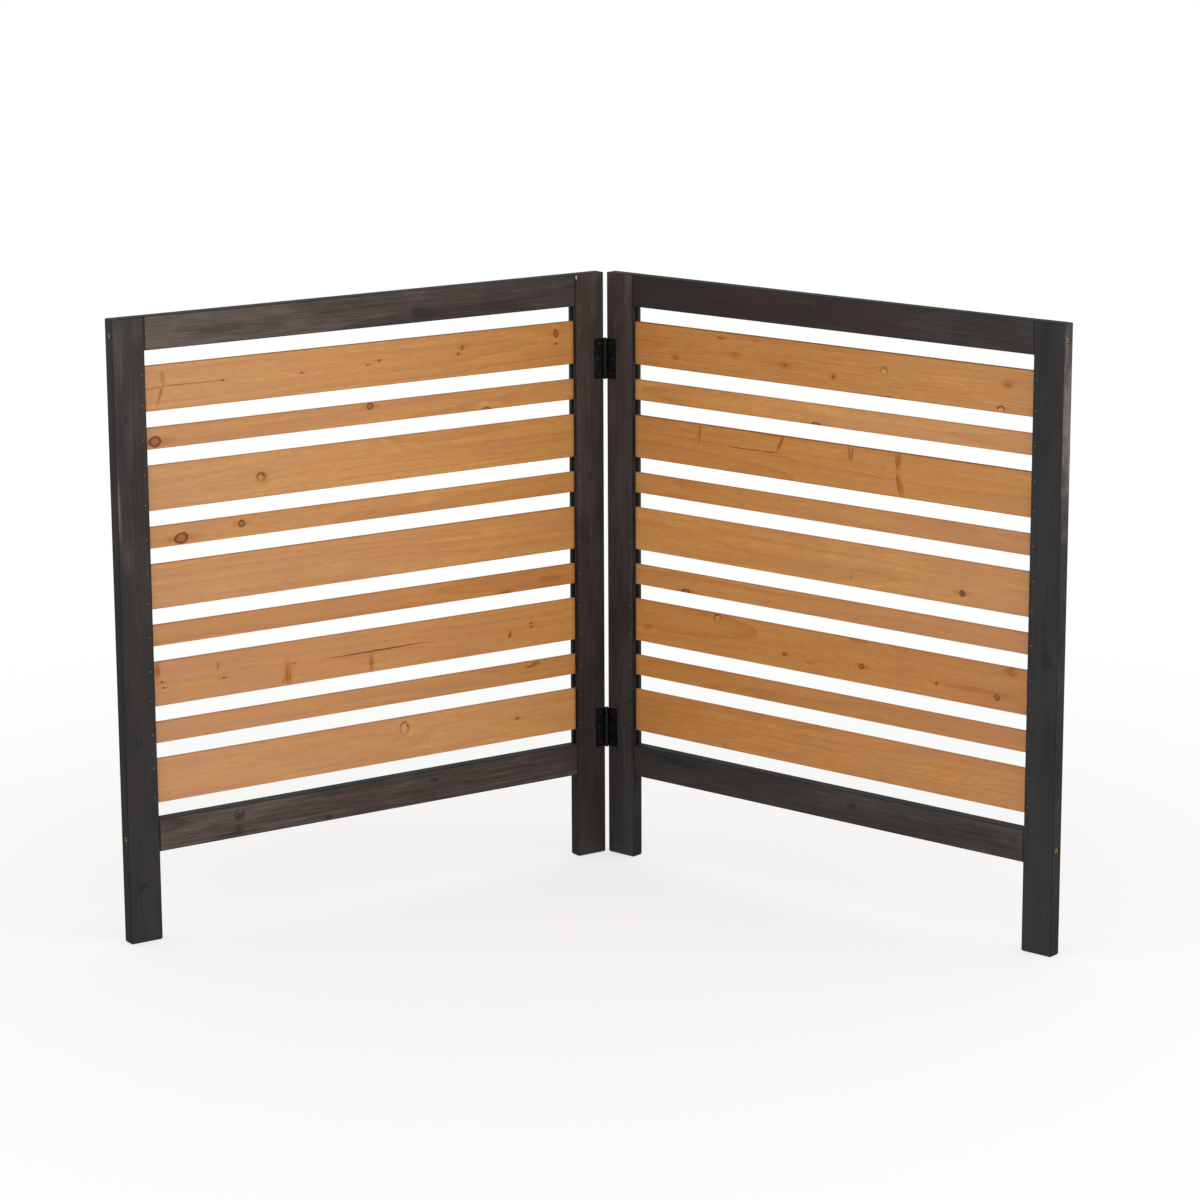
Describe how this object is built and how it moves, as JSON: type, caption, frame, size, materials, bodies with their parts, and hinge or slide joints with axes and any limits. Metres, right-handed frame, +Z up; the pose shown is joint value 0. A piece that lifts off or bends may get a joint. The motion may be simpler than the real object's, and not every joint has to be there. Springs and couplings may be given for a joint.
{
  "type": "air conditioner screen",
  "caption": "Folding slatted timber screen of hinged framed panels that stands in a V to hide an outdoor air conditioner unit while air passes between its slats.",
  "frame": {"origin": "On the floor, under the middle of the standing screen's box", "axes": "+X along the width to the right panel, +Y from the open side of the V towards the hinged edge, +Z up"},
  "size_m": [1.4008, 0.537, 0.95],
  "materials": {
    "frame_wood": "planed softwood under a dark charcoal-brown stain, grain showing, satin",
    "slat_wood": "planed knotty softwood under a honey-brown stain, satin",
    "hinge_steel": "pressed steel, black coated, satin",
    "black_screws": "black coated steel screws, semi-gloss",
    "yellow_zinc": "steel wood screws, yellow zinc plated",
    "brad_steel": "bright steel finish nails, dulled"
  },
  "bodies": {
    "left_panel": {"left_outer_post": "frame_wood", "left_hinge_post": "frame_wood", "left_top_rail": "frame_wood", "left_bottom_rail": "frame_wood", "left_slat_1": "slat_wood", "left_slat_2": "slat_wood", "left_slat_3": "slat_wood", "left_slat_4": "slat_wood", "left_slat_5": "slat_wood", "left_slat_6": "slat_wood", "left_slat_7": "slat_wood", "left_slat_8": "slat_wood", "left_slat_9": "slat_wood", "left_slat_brads": "brad_steel", "left_rail_screws": "yellow_zinc", "left_hinge_screws": "black_screws", "upper_hinge_left_leaf": "hinge_steel", "upper_hinge_pin": "hinge_steel", "lower_hinge_left_leaf": "hinge_steel", "lower_hinge_pin": "hinge_steel"},
    "right_panel": {"right_outer_post": "frame_wood", "right_hinge_post": "frame_wood", "right_top_rail": "frame_wood", "right_bottom_rail": "frame_wood", "right_slat_1": "slat_wood", "right_slat_2": "slat_wood", "right_slat_3": "slat_wood", "right_slat_4": "slat_wood", "right_slat_5": "slat_wood", "right_slat_6": "slat_wood", "right_slat_7": "slat_wood", "right_slat_8": "slat_wood", "right_slat_9": "slat_wood", "right_slat_brads": "brad_steel", "right_rail_screws": "yellow_zinc", "right_hinge_screws": "black_screws", "upper_hinge_right_leaf": "hinge_steel", "lower_hinge_right_leaf": "hinge_steel"}
  },
  "joints": [
    {"name": "fold", "type": "hinge", "parent": "left_panel", "child": "right_panel", "pos_m": [0, 0.25007, 0.5], "axis": [0, 0, 1], "range_deg": [-105.5, 74.5]}
  ]
}
